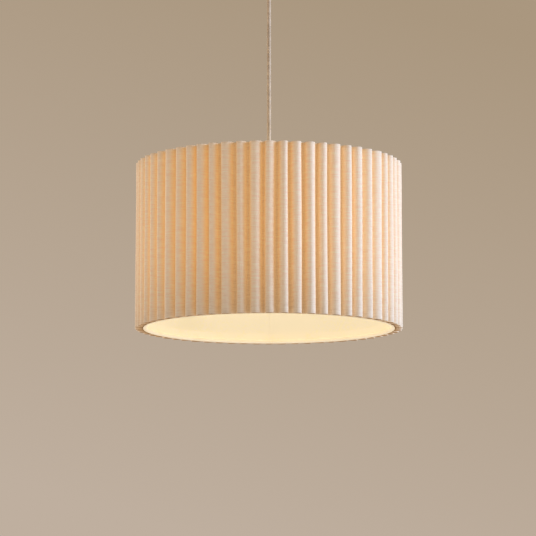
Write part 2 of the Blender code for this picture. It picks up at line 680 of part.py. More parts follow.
def clamp_screw(name, side):
    """A pan-head screw through both jaws."""
    front, back = -GAP - CLAMP_DEPTH - GAP, GAP + CLAMP_DEPTH - GAP
    head = 0.0018
    profile = [(0, head), (0.0019, head), (0.0027, head * 0.45), (0.0027, 0),
               (SCREW_DIAMETER / 2, 0), (SCREW_DIAMETER / 2, front - back), (0, front - back)]
    screw = turned(name, profile, 16)
    screw.rotation_euler = (math.pi / 2, 0, 0)
    screw.location = (side * CLAMP_SCREW_OFFSET, front, CLAMP_SCREW_LEVEL)
    bpy.context.view_layer.update()
    return finish(screw, ZINC_STEEL)


def terminal_block():
    """A two-way block under the bracket, with a wire bore and two screw wells a way."""
    low_x, high_x = TERMINAL_OFFSET - TERMINAL_LENGTH / 2, TERMINAL_OFFSET + TERMINAL_LENGTH / 2
    block = box("terminal_block", (low_x, -TERMINAL_WIDTH / 2, TERMINAL_BOTTOM),
                (high_x, TERMINAL_WIDTH / 2, TERMINAL_TOP), 0.0006)
    over = OVERCUT
    for way, side in enumerate((-1, 1)):
        y = side * TERMINAL_WIDTH / 4
        cut(block, cylinder(f"wire_bore_{way}", (low_x - over, y, TERMINAL_LEVEL),
                            (high_x + over, y, TERMINAL_LEVEL), CORE_DIAMETER / 2 + 2 * GAP, 12))
        for n, along in enumerate((-1, 1)):
            x = TERMINAL_OFFSET + along * TERMINAL_LENGTH / 4
            cut(block, cylinder(f"screw_well_{way}_{n}", (x, y, TERMINAL_BOTTOM - over),
                                (x, y, TERMINAL_LEVEL), TERMINAL_SCREW_RADIUS + GAP, 12))
    return finish(block, TERMINAL_NYLON)


def terminal_screws():
    """Four small screws, their heads just inside the wells."""
    number = 0
    for side in (-1, 1):
        for along in (-1, 1):
            number += 1
            x, y = TERMINAL_OFFSET + along * TERMINAL_LENGTH / 4, side * TERMINAL_WIDTH / 4
            screw = cylinder(f"terminal_screw_{number}", (x, y, TERMINAL_BOTTOM + 0.0010),
                             (x, y, TERMINAL_LEVEL - CORE_DIAMETER / 2 - GAP), TERMINAL_SCREW_RADIUS, 10)
            finish(screw, ZINC_STEEL)


def bracket():
    """The strap that is screwed to the ceiling, whole in the middle, slotted at each end."""
    half = BRACKET_HALF_LENGTH
    strap = box("mounting_bracket", (-half, -BRACKET_WIDTH / 2, -BRACKET_WALL),
                (half, BRACKET_WIDTH / 2, 0), 0.0003)
    for side in (-1, 1):
        x = side * (half - SLOT_INSET)
        cut(strap, cylinder(f"ceiling_slot_{side}", (x, 0, -BRACKET_WALL - OVERCUT),
                            (x, 0, OVERCUT), SLOT_RADIUS))
    return finish(strap, ZINC_STEEL)


def canopy():
    """The cup over the bracket, open against the ceiling, with a hole for the collar."""
    radius, wall = CANOPY_DIAMETER / 2, CANOPY_WALL
    hole = COLLAR_STUB_RADIUS + GAP
    bottom, edge = -CANOPY_HEIGHT, CANOPY_EDGE_RADIUS
    outside = [(radius, -GAP)] + arc(radius - edge, bottom + edge, edge, 0, -90, 3)
    inside = arc(radius - edge, bottom + edge, edge - wall, -90, 0, 3) + [(radius - wall, -GAP)]
    profile = outside + [(hole, bottom), (hole, bottom + wall)] + inside
    return finish(turned("canopy_cup", profile, 40), POWDER_WHITE)


def collar():
    """The gland under the canopy that a set screw locks to the cord."""
    radius, stub, bore = COLLAR_RADIUS, COLLAR_STUB_RADIUS, CORD_BORE
    top = -CANOPY_HEIGHT - GAP
    stub_top = -CANOPY_HEIGHT + CANOPY_WALL + GAP + COLLAR_NUT_HEIGHT
    profile = [(stub, stub_top), (stub, top), (radius, top), (radius, COLLAR_BOTTOM + 0.002),
               (radius - 0.002, COLLAR_BOTTOM), (bore, COLLAR_BOTTOM), (bore, stub_top)]
    ring = turned("canopy_collar", profile, 24)
    cut(ring, cylinder("set_screw_hole", (0, bore - OVERCUT, SET_SCREW_LEVEL),
                       (0, radius + OVERCUT, SET_SCREW_LEVEL), SET_SCREW_RADIUS + GAP, 12))
    return finish(ring, POWDER_WHITE)


def collar_nut():
    """The nut that holds the collar in the canopy, on its inside."""
    low = -CANOPY_HEIGHT + CANOPY_WALL + GAP
    bore = COLLAR_STUB_RADIUS + GAP
    profile = [(bore + 0.0035, low + COLLAR_NUT_HEIGHT), (bore + 0.0035, low),
               (bore, low), (bore, low + COLLAR_NUT_HEIGHT)]
    return finish(turned("collar_nut", profile, 6 * 3), ZINC_STEEL)


def set_screw():
    """The headless screw in the collar's back, against the cord."""
    screw = cylinder("set_screw", (0, CORD_BORE, SET_SCREW_LEVEL),
                     (0, COLLAR_RADIUS + GAP, SET_SCREW_LEVEL), SET_SCREW_RADIUS, 12)
    return finish(screw, ZINC_STEEL)


bracket()
clamp_half("clamp_back", GAP, GAP + CLAMP_DEPTH, CLAMP_TOP)
clamp_half("clamp_front", -GAP, -GAP - CLAMP_DEPTH, CLAMP_FRONT_TOP)
clamp_screw("clamp_screw_left", -1)
clamp_screw("clamp_screw_right", 1)
terminal_block()
terminal_screws()
inner_cord()
core("core_brown", [(-0.0011, -0.0013, GAP), (-0.0011, -0.0013, 0.0009),
                    (-0.0008, -0.0026, 0.0026), (0.0012, -0.0042, 0.0040),
                    (0.0050, -0.0046, 0.0045)], -1, CORE_BROWN)
core("core_blue", [(0.0011, -0.0013, GAP), (0.0011, -0.0013, 0.0009),
                   (0.0015, -0.0016, 0.0027), (0.0035, -0.0018, 0.0043),
                   (0.0075, -0.0018, 0.0045)], 1, CORE_BLUE)
canopy()
collar()
collar_nut()
set_screw()
cord()
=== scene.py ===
import math
import random

import bpy
from mathutils import Matrix, Vector, noise


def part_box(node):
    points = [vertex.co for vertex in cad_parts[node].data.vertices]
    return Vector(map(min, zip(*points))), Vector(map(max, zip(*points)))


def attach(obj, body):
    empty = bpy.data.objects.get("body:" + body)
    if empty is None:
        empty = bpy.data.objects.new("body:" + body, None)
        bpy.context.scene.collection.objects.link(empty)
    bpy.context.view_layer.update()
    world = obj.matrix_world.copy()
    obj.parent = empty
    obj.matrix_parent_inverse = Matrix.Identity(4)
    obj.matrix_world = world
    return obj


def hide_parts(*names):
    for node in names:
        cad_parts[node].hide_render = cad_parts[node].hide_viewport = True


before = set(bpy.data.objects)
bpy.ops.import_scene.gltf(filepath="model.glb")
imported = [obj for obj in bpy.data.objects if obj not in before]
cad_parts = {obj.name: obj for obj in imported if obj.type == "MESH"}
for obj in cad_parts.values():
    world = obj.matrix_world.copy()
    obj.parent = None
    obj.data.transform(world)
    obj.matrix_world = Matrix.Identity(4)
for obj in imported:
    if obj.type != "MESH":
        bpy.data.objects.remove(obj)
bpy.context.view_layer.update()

# --- Camera ------------------------------------------------------------------------------
# A long lens a little below the shade, turned up so that the open mouth shows as a thin ellipse.
# The colours are graded straight, so that cream cloth stays cream where the window light is full.
shade_low, shade_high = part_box("cover_front")
bpy.ops.object.camera_add(location=(-0.0015, -3.763, shade_low.z - 0.456),
                          rotation=(math.radians(98.285), 0, 0))
camera = bpy.context.object
camera.data.lens = 171.1
bpy.context.scene.camera = camera
bpy.context.scene.view_settings.view_transform = "Standard"


# --- Cord --------------------------------------------------------------------------------
# Two-core flex in a braided cotton sleeve, pulled straight by the shade's weight. It leaves the
# gland above the lampholder and ends in the collar of the ceiling fitting. Both ends are
# rounded about the points that they swing at, so they stay inside their bores.
def linear(hex_colour):
    """A colour written as sRGB hex, as the linear values that Blender mixes."""
    parts = [int(hex_colour[i:i + 2], 16) / 255 for i in (1, 3, 5)]
    return [c / 12.92 if c <= 0.04045 else ((c + 0.055) / 1.055) ** 2.4 for c in parts] + [1.0]


def add(finish, kind, sockets=(), **settings):
    """Adds one node to a finish, with its settings, and its sockets' values or links."""
    tree = finish.node_tree
    made = tree.nodes.new("ShaderNode" + kind)
    for name, value in settings.items():
        setattr(made, name, value)
    for name, value in dict(sockets).items():
        if isinstance(value, bpy.types.NodeSocket):
            tree.links.new(value, made.inputs[name])
        else:
            made.inputs[name].default_value = value
    return made


def new_finish(name, **sockets):
    """A finish with one Principled shader, and the colours or numbers set on its sockets."""
    finish = bpy.data.materials.new(name)
    finish.use_nodes = True
    finish.node_tree.nodes.clear()
    shader = add(finish, "BsdfPrincipled", {k.replace("_", " "): v for k, v in sockets.items()})
    add(finish, "OutputMaterial", {"Surface": shader.outputs["BSDF"]})
    return finish, shader


def blend_colours(finish, amount, first, second, start=0.0, end=1.0):
    """Runs from the first hex colour to the second as the amount goes from start to end."""
    ramp = add(finish, "ValToRGB", {"Fac": amount})
    ramp.color_ramp.elements[0].position, ramp.color_ramp.elements[1].position = start, end
    ramp.color_ramp.elements[0].color = linear(first)
    ramp.color_ramp.elements[1].color = linear(second)
    return ramp.outputs["Color"]


def pick(piece):
    """Makes a piece the active one, and the only one that is selected."""
    bpy.ops.object.select_all(action="DESELECT")
    piece.select_set(True)
    bpy.context.view_layer.objects.active = piece


def laid_grid(name, across, along):
    """A flat square of cloth-like mesh, with its own UV map, to be rolled or folded in place."""
    bpy.ops.object.select_all(action="DESELECT")
    bpy.ops.mesh.primitive_grid_add(x_subdivisions=across, y_subdivisions=along, size=2,
                                    calc_uvs=True)
    piece = bpy.context.object
    piece.name = piece.data.name = name
    return piece


def shape_grid(piece, place):
    """Moves each vertex of a laid grid to place(across, along), both from 0 to 1."""
    for vertex in piece.data.vertices:
        vertex.co = place((vertex.co.x + 1) / 2, (vertex.co.y + 1) / 2)


def close_up(piece, distance=0.00001):
    """Merges the vertices that meet at seams and poles, and turns every face outwards."""
    pick(piece)
    bpy.ops.object.mode_set(mode="EDIT")
    bpy.ops.mesh.select_all(action="SELECT")
    bpy.ops.mesh.remove_doubles(threshold=distance)
    bpy.ops.mesh.normals_make_consistent(inside=False)
    bpy.ops.object.mode_set(mode="OBJECT")


def hand_over(piece, body, finish, slot, *nodes, smooth=35):
    """Gives a piece its body, the CAD nodes it replaces, and a finish unless it has its own."""
    if finish:
        piece.data.materials.clear()
        piece.data.materials.append(finish)
    pick(piece)
    bpy.ops.object.shade_smooth_by_angle(angle=math.radians(smooth))
    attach(piece, body)
    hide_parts(*nodes)


grip_low, grip_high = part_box("cord_grip")
collar_low, collar_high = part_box("canopy_collar")
cord_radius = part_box("cord")[1].x
cord_top, cord_bottom = collar_low.z, grip_high.z
BRAID_STRANDS = 8               # spools in each direction
BRAID_REPEAT = 0.0085           # along the cord, from one strand to the next
BRAID_DEPTH = 0.00016
CAP_SHARE = 0.03                # share of the sleeve's mesh that rounds each end


def braid(turn, height):
    """How far the sleeve's surface lies under its crowns, where strands cross over each other."""
    lean = 2 * math.pi * height / BRAID_REPEAT
    over = math.sin(BRAID_STRANDS * turn + lean)
    under = math.sin(BRAID_STRANDS * turn - lean)
    return BRAID_DEPTH * (0.5 - 0.5 * over * under)


def sleeve_place(across, along, top, bottom, crown):
    """A point of a sleeve on the Z axis, closed at each end by a cap that stands up by crown."""
    turn = 2 * math.pi * across
    if along < CAP_SHARE:
        tip = math.pi / 2 * along / CAP_SHARE
        radius, height = cord_radius * math.sin(tip), bottom - crown * math.cos(tip)
    elif along > 1 - CAP_SHARE:
        tip = math.pi / 2 * (1 - along) / CAP_SHARE
        radius, height = cord_radius * math.sin(tip), top + crown * math.cos(tip)
    else:
        height = bottom + (top - bottom) * (along - CAP_SHARE) / (1 - 2 * CAP_SHARE)
        radius = cord_radius - braid(turn, height)
    return (radius * math.cos(turn), radius * math.sin(turn), height)


# Braided cotton, matt and a little hairy: it gives the eye a dry taupe thread with no gloss,
# in a plait of about 1 mm, drawn half as large again as the real one so that it shows. Its
# hairs are 0.7 mm apart, and its dye is patchy over 11 mm.
HAIRS_A_METRE, PATCHES_A_METRE = 1400.0, 90.0
braided_cotton, shader = new_finish("braided_cotton", Roughness=0.88, Specular_IOR_Level=0.25,
                                    Sheen_Weight=0.35, Sheen_Roughness=0.5)
shader.inputs["Sheen Tint"].default_value = linear("#F2E3D0")
spot = add(braided_cotton, "TexCoord").outputs["Object"]
plait = add(braided_cotton, "TexNoise", {"Vector": spot, "Scale": HAIRS_A_METRE,
                                         "Detail": 2.0})
patchy = add(braided_cotton, "TexNoise", {"Vector": spot, "Scale": PATCHES_A_METRE,
                                          "Detail": 3.0})
threads = add(braided_cotton, "Math", {0: plait.outputs["Fac"], 1: patchy.outputs["Fac"]},
              operation="MULTIPLY")
tone = blend_colours(braided_cotton, threads.outputs[0], "#C6B5A4", "#F0E1D2", 0.12, 0.40)
fuzz = add(braided_cotton, "Bump", {"Height": plait.outputs["Fac"], "Strength": 0.3,
                                    "Distance": 0.0002})
rough = add(braided_cotton, "MapRange", {"Value": plait.outputs["Fac"], "To Min": 0.80,
                                         "To Max": 0.95})
for socket, source in (("Base Color", tone), ("Normal", fuzz.outputs["Normal"]),
                       ("Roughness", rough.outputs["Result"])):
    braided_cotton.node_tree.links.new(source, shader.inputs[socket])

cord = laid_grid("hanging_cord", across=32, along=420)
shape_grid(cord, lambda across, along: sleeve_place(
    across, along, cord_top, cord_bottom, crown=cord_radius))
close_up(cord)
hand_over(cord, "cord", braided_cotton, "cord_textile", "cord", smooth=60)

# Above the collar the same cord goes on to the clamp. It starts in the collar's bore, clear of
# the swinging cord's rounded end, and its own ends are cut nearly flat.
clamp_top, inner_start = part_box("clamp_front")[1].z, collar_low.z + 0.0035
inner_cord = laid_grid("cord_in_canopy", across=32, along=90)
shape_grid(inner_cord, lambda across, along: sleeve_place(
    across, along, clamp_top, inner_start, crown=0.0002))
close_up(inner_cord)
hand_over(inner_cord, "ceiling_fitting", braided_cotton, "cord_textile", "inner_cord", smooth=60)


# --- Room --------------------------------------------------------------------------------
# A plain warm studio: even light from all round, dimmer in front, and a pale matt floor well
# under the shade. A soft light as large as a window stands on the right, a little in front, and
# a faint warm one comes back off the far wall on the left.
world = bpy.data.worlds.new("studio_air")
world.use_nodes = True
bpy.context.scene.world = world
air = world.node_tree.nodes["Background"]
direction = add(world, "TexCoord").outputs["Generated"]
parts = add(world, "SeparateXYZ", {"Vector": direction})
to_right = add(world, "Math", {0: parts.outputs["X"], 1: 0.3}, operation="MULTIPLY")
shading = add(world, "Math", {0: parts.outputs["Z"], 1: to_right.outputs[0]}, operation="ADD")
wall_tone = blend_colours(world, shading.outputs[0], "#BFAF9F", "#AA977F", 0.03, 0.26)
dimming = add(world, "MapRange", {"Value": parts.outputs["Y"], "From Min": -0.9,
                                  "From Max": 0.3, "To Min": 0.62, "To Max": 1.0},
              interpolation_type="SMOOTHSTEP")
world.node_tree.links.new(wall_tone, air.inputs["Color"])
world.node_tree.links.new(dimming.outputs["Result"], air.inputs["Strength"])

FLOOR_LEVEL = -2.6              # a room's height under the ceiling
bpy.ops.object.select_all(action="DESELECT")
bpy.ops.mesh.primitive_plane_add(size=80, location=(0, 0, FLOOR_LEVEL))
floor = bpy.context.object
floor.name = "floor"
bpy.ops.object.transform_apply(location=True)
# Floor paint, rolled on: quite matt, with broad faint marks of the roller.
floor_paint, shader = new_finish("matt_floor_paint", Roughness=0.9)
spot = add(floor_paint, "TexCoord").outputs["Object"]
rolled = add(floor_paint, "TexNoise", {"Vector": spot, "Scale": 3.0, "Detail": 3.0})
tone = blend_colours(floor_paint, rolled.outputs["Fac"], "#EAE4DA", "#EFE9E0", 0.3, 0.7)
floor_paint.node_tree.links.new(tone, shader.inputs["Base Color"])
shader.inputs["Emission Color"].default_value = linear("#EBE6DE")
shader.inputs["Emission Strength"].default_value = 0.27
floor.data.materials.append(floor_paint)

shade_middle = Vector((0, 0, (shade_low.z + shade_high.z) / 2))
for name, stand, width, height, power, colour in (
        ("window", (3.15, -0.50, 0.10), 1.5, 1.8, 82, "#CFE4FF"),
        ("far_wall", (-2.6, 2.0, 0.10), 1.2, 1.8, 38, "#FFDAB8")):
    bpy.ops.object.light_add(type="AREA", location=stand)
    light = bpy.context.object
    light.name = name
    light.rotation_euler = (shade_middle - Vector(stand)).to_track_quat("-Z", "Y").to_euler()
    light.data.shape, light.data.size, light.data.size_y = "RECTANGLE", width, height
    light.data.energy, light.data.color = power, linear(colour)[:3]
    light.visible_camera = False


# --- Canopy ------------------------------------------------------------------------------
# A cup spun from 1.5 mm steel and powder-coated cream, open against the ceiling, with a round
# edge below. Its bottom is pierced for the collar.
def turned(name, outline, steps=96):
    """A turned piece: a ring at the outline's first (radius, height), drawn through the rest."""
    near_axis, same_point = 0.000001, 0.000004
    rings = [(max(radius, near_axis), height) for radius, height in outline]
    bpy.ops.object.select_all(action="DESELECT")
    bpy.ops.mesh.primitive_circle_add(vertices=steps, radius=rings[0][0],
                                      location=(0, 0, rings[0][1]))
    piece = bpy.context.object
    piece.name = piece.data.name = name
    bpy.ops.object.transform_apply(location=True)
    bpy.ops.object.mode_set(mode="EDIT")
    bpy.ops.mesh.select_all(action="SELECT")
    for (radius, height), (next_radius, next_height) in zip(rings, rings[1:]):
        bpy.ops.mesh.extrude_edges_move(
            TRANSFORM_OT_translate={"value": (0, 0, next_height - height)})
        grown = next_radius / radius
        bpy.ops.transform.resize(value=(grown, grown, 1), center_override=(0, 0, next_height))
    bpy.ops.object.mode_set(mode="OBJECT")
    close_up(piece, distance=same_point)
    return piece


def curve_of(centre, radius, start, end, parts):
    """Points (radius, height) round a centre, in degrees from outwards towards up."""
    turns = [math.radians(start + (end - start) * i / parts) for i in range(parts + 1)]
    return [(centre[0] + radius * math.cos(t), centre[1] + radius * math.sin(t)) for t in turns]


def soften(piece, width, angle=30, segments=2):
    """Breaks the sharp edges of a piece, as tumbling or a mould does."""
    bevel = piece.modifiers.new("Softened", "BEVEL")
    bevel.width, bevel.segments, bevel.limit_method = width, segments, "ANGLE"
    bevel.angle_limit = math.radians(angle)
    pick(piece)
    bpy.ops.object.modifier_apply(modifier="Softened")


def grained(name, dark, light, grain, roughness, depth=0.00004, **sockets):
    """A finish whose colour, gloss and surface vary in grains of the given size, in metres."""
    finish, shader = new_finish(name, **sockets)
    spot = add(finish, "TexCoord").outputs["Object"]
    fine = add(finish, "TexNoise", {"Vector": spot, "Scale": 1 / grain, "Detail": 3.0})
    broad = add(finish, "TexNoise", {"Vector": spot, "Scale": 0.05 / grain, "Detail": 2.0})
    both = add(finish, "Math", {0: fine.outputs["Fac"], 1: broad.outputs["Fac"]},
               operation="ADD")
    tone = blend_colours(finish, both.outputs[0], dark, light, 0.80, 1.20)
    rough = add(finish, "MapRange", {"Value": fine.outputs["Fac"], "From Min": 0.3,
                                     "From Max": 0.7, "To Min": roughness[0],
                                     "To Max": roughness[1]})
    bump = add(finish, "Bump", {"Height": fine.outputs["Fac"], "Strength": 0.4,
                                "Distance": depth})
    for socket, source in (("Base Color", tone), ("Roughness", rough.outputs["Result"]),
                           ("Normal", bump.outputs["Normal"])):
        finish.node_tree.links.new(source, shader.inputs[socket])
    return finish


# Powder coat, sprayed and baked: an even satin cream with a very fine orange peel.
powder_coat = grained("powder_coat", "#E6DDCF", "#EFE8DC", 0.0012, (0.38, 0.50))
canopy_low, canopy_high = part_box("canopy_cup")
CANOPY_WALL, CANOPY_EDGE, CANOPY_HOLE = 0.0015, 0.006, 0.0058
WALL_MIDDLE = -0.020            # height of one ring in the mesh of the straight wall
rim, base = canopy_high.x, canopy_low.z
bend = (rim - CANOPY_EDGE, base + CANOPY_EDGE)
canopy = turned("canopy_cup_spun", [
    (rim - CANOPY_WALL, canopy_high.z), (rim, canopy_high.z), (rim, WALL_MIDDLE)]
    + curve_of(bend, CANOPY_EDGE, 0, -90, 10)
    + [(CANOPY_HOLE, base), (CANOPY_HOLE, base + CANOPY_WALL)]
    + curve_of(bend, CANOPY_EDGE - CANOPY_WALL, -90, 0, 8)
    + [(rim - CANOPY_WALL, WALL_MIDDLE), (rim - CANOPY_WALL, canopy_high.z)], steps=128)
soften(canopy, width=0.0003, angle=50)
hand_over(canopy, "ceiling_fitting", powder_coat, "canopy_steel", "canopy_cup", smooth=40)


# --- Collar ------------------------------------------------------------------------------
# The turned collar that the cord runs through, coated like the cup. A thin nut holds it up in
# the cup, and one set screw grips the cord. Two fine grooves are cut round it.
GAP = 0.0003                    # left between pieces that touch
GROOVE_DEPTH, GROOVE_FLOOR = 0.0005, 0.0003
GROOVE_FROM_END, COLLAR_EDGE = 0.0030, 0.0012


def groove(radius, middle, mouth):
    """Points down a wall with one groove in it. Mouth and floor are measured from its middle."""
    return [(radius, middle + mouth), (radius - GROOVE_DEPTH, middle + GROOVE_FLOOR),
            (radius - GROOVE_DEPTH, middle - GROOVE_FLOOR), (radius, middle - mouth)]


collar_radius, collar_shoulder = collar_high.x, canopy_low.z - GAP
collar_stub, bore = CANOPY_HOLE - GAP, cord_radius + GAP
collar = turned("collar_turned", [
    (bore, collar_high.z), (collar_stub, collar_high.z), (collar_stub, collar_shoulder),
    (collar_radius, collar_shoulder)]
    + groove(collar_radius, collar_shoulder - GROOVE_FROM_END, mouth=0.0006)
    + groove(collar_radius, collar_low.z + GROOVE_FROM_END, mouth=0.0006)
    + curve_of((collar_radius - COLLAR_EDGE, collar_low.z + COLLAR_EDGE), COLLAR_EDGE, 0, -90, 4)
    + [(bore, collar_low.z), (bore, collar_high.z)], steps=64)
soften(collar, width=0.0002, angle=35)
hand_over(collar, "ceiling_fitting", powder_coat, "canopy_steel", "canopy_collar", smooth=40)


# --- Inside the canopy -------------------------------------------------------------------
# The strap that is screwed to the ceiling, the nylon clamp that carries the cord's weight with
# its two screws, and the terminal block with the cord's two cores: pressed, moulded and plated
# parts that show from above.
def refinish(finish, *nodes):
    """Gives a finish to CAD nodes that are right in shape as they are."""
    for node in nodes:
        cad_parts[node].data.materials.clear()
        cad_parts[node].data.materials.append(finish)


# Zinc plate: bluish grey and half bright, with faint blotches from the bath.
zinc_plate = grained("zinc_plate", "#9EA3A6", "#C3C7C9", 0.0016, (0.28, 0.46), Metallic=1.0)
# Nylon as moulded: milky, slightly waxy.
nylon = grained("natural_nylon", "#DDD9CC", "#E9E6DB", 0.0012, (0.42, 0.55))
# Soft PVC, extruded over the wires: plain brown and blue, with a dull shine.
core_brown = grained("brown_pvc", "#4A2A18", "#5C3722", 0.0008, (0.35, 0.50))
core_blue = grained("blue_pvc", "#2C5FA0", "#3B70B4", 0.0008, (0.35, 0.50))
refinish(zinc_plate, "mounting_bracket", "clamp_screw_left", "clamp_screw_right", "set_screw",
         "collar_nut", *(f"terminal_screw_{n}" for n in range(1, 5)))
refinish(nylon, "clamp_back", "clamp_front", "terminal_block")
refinish(core_brown, "core_brown")
refinish(core_blue, "core_blue")


# --- Cord gland --------------------------------------------------------------------------
# The moulded gland above the lampholder. Its nut is ribbed for the fingers, and squeezes the
# cord so that the shade's weight doesn't hang on the wires.
def ribbed(piece, low, high, ribs, depth, radius, run_out=0.0008):
    """Sinks shallow flutes into the round wall between two heights, one for each rib."""
    skin = 0.0006               # the vertices this near to the radius are the wall's
    for vertex in piece.data.vertices:
        x, y, z = vertex.co
        if low < z < high and math.hypot(x, y) > radius - skin:
            flute = 0.5 - 0.5 * math.cos(ribs * math.atan2(y, x))
            ease = min(1.0, (z - low) / run_out, (high - z) / run_out)
            shrink = 1 - depth * flute * ease / math.hypot(x, y)
            vertex.co = (x * shrink, y * shrink, z)


def wall_between(radius, top, bottom, parts):
    """Points down a straight wall, close enough together for ribs or a thread."""
    return [(radius, top + (bottom - top) * i / parts) for i in range(parts + 1)]


# Thermoplastic from a polished mould: smooth and satin, in the canopy's cream.
moulded_cream = grained("moulded_thermoplastic", "#E9E2D6", "#F0EADF", 0.0010, (0.30, 0.42),
                        depth=0.00002)
cap_low, cap_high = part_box("holder_cap")
grip_radius, grip_base = grip_high.x, cap_high.z + GAP
GLAND_STUB, NUT_EDGE, NECK_EDGE = 0.0048, 0.0003, 0.0020
nut_top = grip_high.z - 0.0056
gland = turned("cord_gland", [
    (bore, grip_high.z), (grip_radius * 0.66, grip_high.z)]
    + curve_of((grip_radius * 0.60, grip_high.z - NECK_EDGE), NECK_EDGE, 80, 10, 5)
    + [(grip_radius * 0.93, nut_top + 0.0004), (grip_radius * 0.96, nut_top)]
    + wall_between(grip_radius, nut_top - NUT_EDGE, grip_base + NUT_EDGE, 10)
    + [(grip_radius - NUT_EDGE, grip_base), (GLAND_STUB, grip_base), (GLAND_STUB, grip_low.z),
       (bore, grip_low.z), (bore, grip_high.z)], steps=96)
ribbed(gland, grip_base + 0.0008, nut_top - 0.0008, ribs=16, depth=0.0005, radius=grip_radius)
hand_over(gland, "cord_grip", moulded_cream, "holder_plastic", "cord_grip", smooth=40)


# --- Lampholder --------------------------------------------------------------------------
# An E27 holder moulded in cream thermoplastic: a domed cap, and a skirt with a coarse thread
# outside for the shade ring. A steatite cup inside it carries the brass shell and the contact.
def threaded(piece, low, high, lead, depth, least_radius, run_out=0.001):
    """Winds a round thread into the wall between two heights, sinking only inwards."""
    for vertex in piece.data.vertices:
        x, y, z = vertex.co
        radius = math.hypot(x, y)
        if low < z < high and radius > least_radius:
            wave = 0.5 - 0.5 * math.cos(2 * math.pi * z / lead - math.atan2(y, x))
            ease = min(1.0, (z - low) / run_out, (high - z) / run_out)
            shrink = 1 - depth * wave * ease / radius
            vertex.co = (x * shrink, y * shrink, z)


skirt_low, skirt_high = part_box("holder_skirt")
cap_radius, skirt_radius = cap_high.x, skirt_high.x
CAP_WALL, SKIRT_WALL = 0.0024, 0.0018
skirt_bore, cap_bore, grip_hole = skirt_radius - SKIRT_WALL, skirt_radius + GAP, GLAND_STUB + GAP
dome = (cap_high.z - cap_low.z) / 2
dome_centre = (cap_radius - dome, cap_high.z - dome)
holder_cap = turned("holder_cap_moulded", [
    (grip_hole, cap_high.z)] + curve_of(dome_centre, dome, 90, 0, 14)
    + groove(cap_radius, cap_low.z + 0.0058, mouth=0.0007)
    + [(cap_radius, cap_low.z), (cap_bore, cap_low.z), (cap_bore, cap_high.z - dome)]
    + curve_of(dome_centre, dome - CAP_WALL, 0, 90, 10)
    + [(grip_hole, cap_high.z - CAP_WALL), (grip_hole, cap_high.z)], steps=96)
soften(holder_cap, width=0.0003, angle=40)
hand_over(holder_cap, "lampholder", moulded_cream, "holder_plastic", "holder_cap", smooth=40)

skirt = turned("holder_skirt_threaded", wall_between(
    skirt_radius, skirt_high.z, skirt_low.z, 84) + [
    (skirt_bore, skirt_low.z), (skirt_bore, skirt_high.z), (skirt_radius, skirt_high.z)],
    steps=96)
threaded(skirt, skirt_low.z + 0.004, cap_low.z, lead=0.0025, depth=0.0005,
         least_radius=skirt_radius - 0.0003)
hand_over(skirt, "lampholder", moulded_cream, "holder_plastic", "holder_skirt", smooth=50)

# Brass, pressed and left bright inside the holder, gone a little brown.
brass = grained("pressed_brass", "#B08A45", "#D2AE66", 0.0015, (0.22, 0.38), Metallic=1.0)
# Steatite, fired and unglazed: chalky white.
steatite = grained("fired_steatite", "#E3E1DB", "#EFEDE8", 0.0010, (0.50, 0.65))
shell_low, shell_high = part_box("screw_shell")
SHELL_WALL, LAMP_THREAD = 0.0004, 0.0036
shell = turned("screw_shell_rolled", wall_between(
    shell_high.x, shell_high.z, shell_low.z, 56) + wall_between(
    shell_high.x - SHELL_WALL, shell_low.z, shell_high.z, 56)
    + [(shell_high.x, shell_high.z)], steps=64)
threaded(shell, shell_low.z + 0.002, shell_high.z - 0.001, lead=LAMP_THREAD, depth=0.00025,
         least_radius=0.0)
hand_over(shell, "lampholder", brass, "contact_brass", "screw_shell", smooth=50)
refinish(steatite, "holder_insert")
refinish(brass, "centre_contact")


# --- Lamp --------------------------------------------------------------------------------
# An LED lamp with an opal globe: nickel-plated screw cap, black glass and a tip at the top, a
# white moulded body that carries the heat away, and a frosted globe that is lit all over.
# Nickel plate over brass: warm grey and bright, with rubbed patches.
nickel = grained("nickel_plate", "#A9A49B", "#CFCBC3", 0.0015, (0.20, 0.32), Metallic=1.0)
# Vitrite, the black glass round the tip contact: glossy as poured.
vitrite = grained("black_vitrite", "#0C0C10", "#17171C", 0.0012, (0.10, 0.20))
# Filled plastic that carries heat: an opaque satin white.
lamp_white = grained("lamp_body_plastic", "#E4E1DB", "#EEECE6", 0.0010, (0.34, 0.46))
# Solder resist on an aluminium board: a thin white film.
board_white = grained("led_board_resist", "#DDE0DC", "#EDEFEA", 0.0030, (0.40, 0.55))
lamp_cap_low, lamp_cap_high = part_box("lamp_cap")
LAMP_CAP_WALL, LAMP_CAP_EDGE = 0.0005, 0.0020
thread_radius, cap_roof = lamp_cap_high.x, lamp_cap_high.z - LAMP_CAP_WALL
cap_inside = thread_radius - LAMP_CAP_WALL - 0.0003
lamp_cap = turned("lamp_cap_threaded", [
    (0, lamp_cap_high.z), (thread_radius - 0.0022, lamp_cap_high.z)]
    + curve_of((thread_radius - LAMP_CAP_EDGE, lamp_cap_high.z - LAMP_CAP_EDGE), LAMP_CAP_EDGE,
               85, 5, 4)
    + wall_between(thread_radius, lamp_cap_high.z - 0.0021, lamp_cap_low.z, 50)
    + [(cap_inside, lamp_cap_low.z), (cap_inside, lamp_cap_high.z - 0.0025),
       (thread_radius - 0.0030, cap_roof), (0, cap_roof)], steps=64)
threaded(lamp_cap, lamp_cap_low.z + 0.003, lamp_cap_high.z - 0.0025, lead=LAMP_THREAD,
         depth=0.0005, least_radius=thread_radius - 0.0002)
hand_over(lamp_cap, "lamp", nickel, "lamp_metal", "lamp_cap", smooth=50)

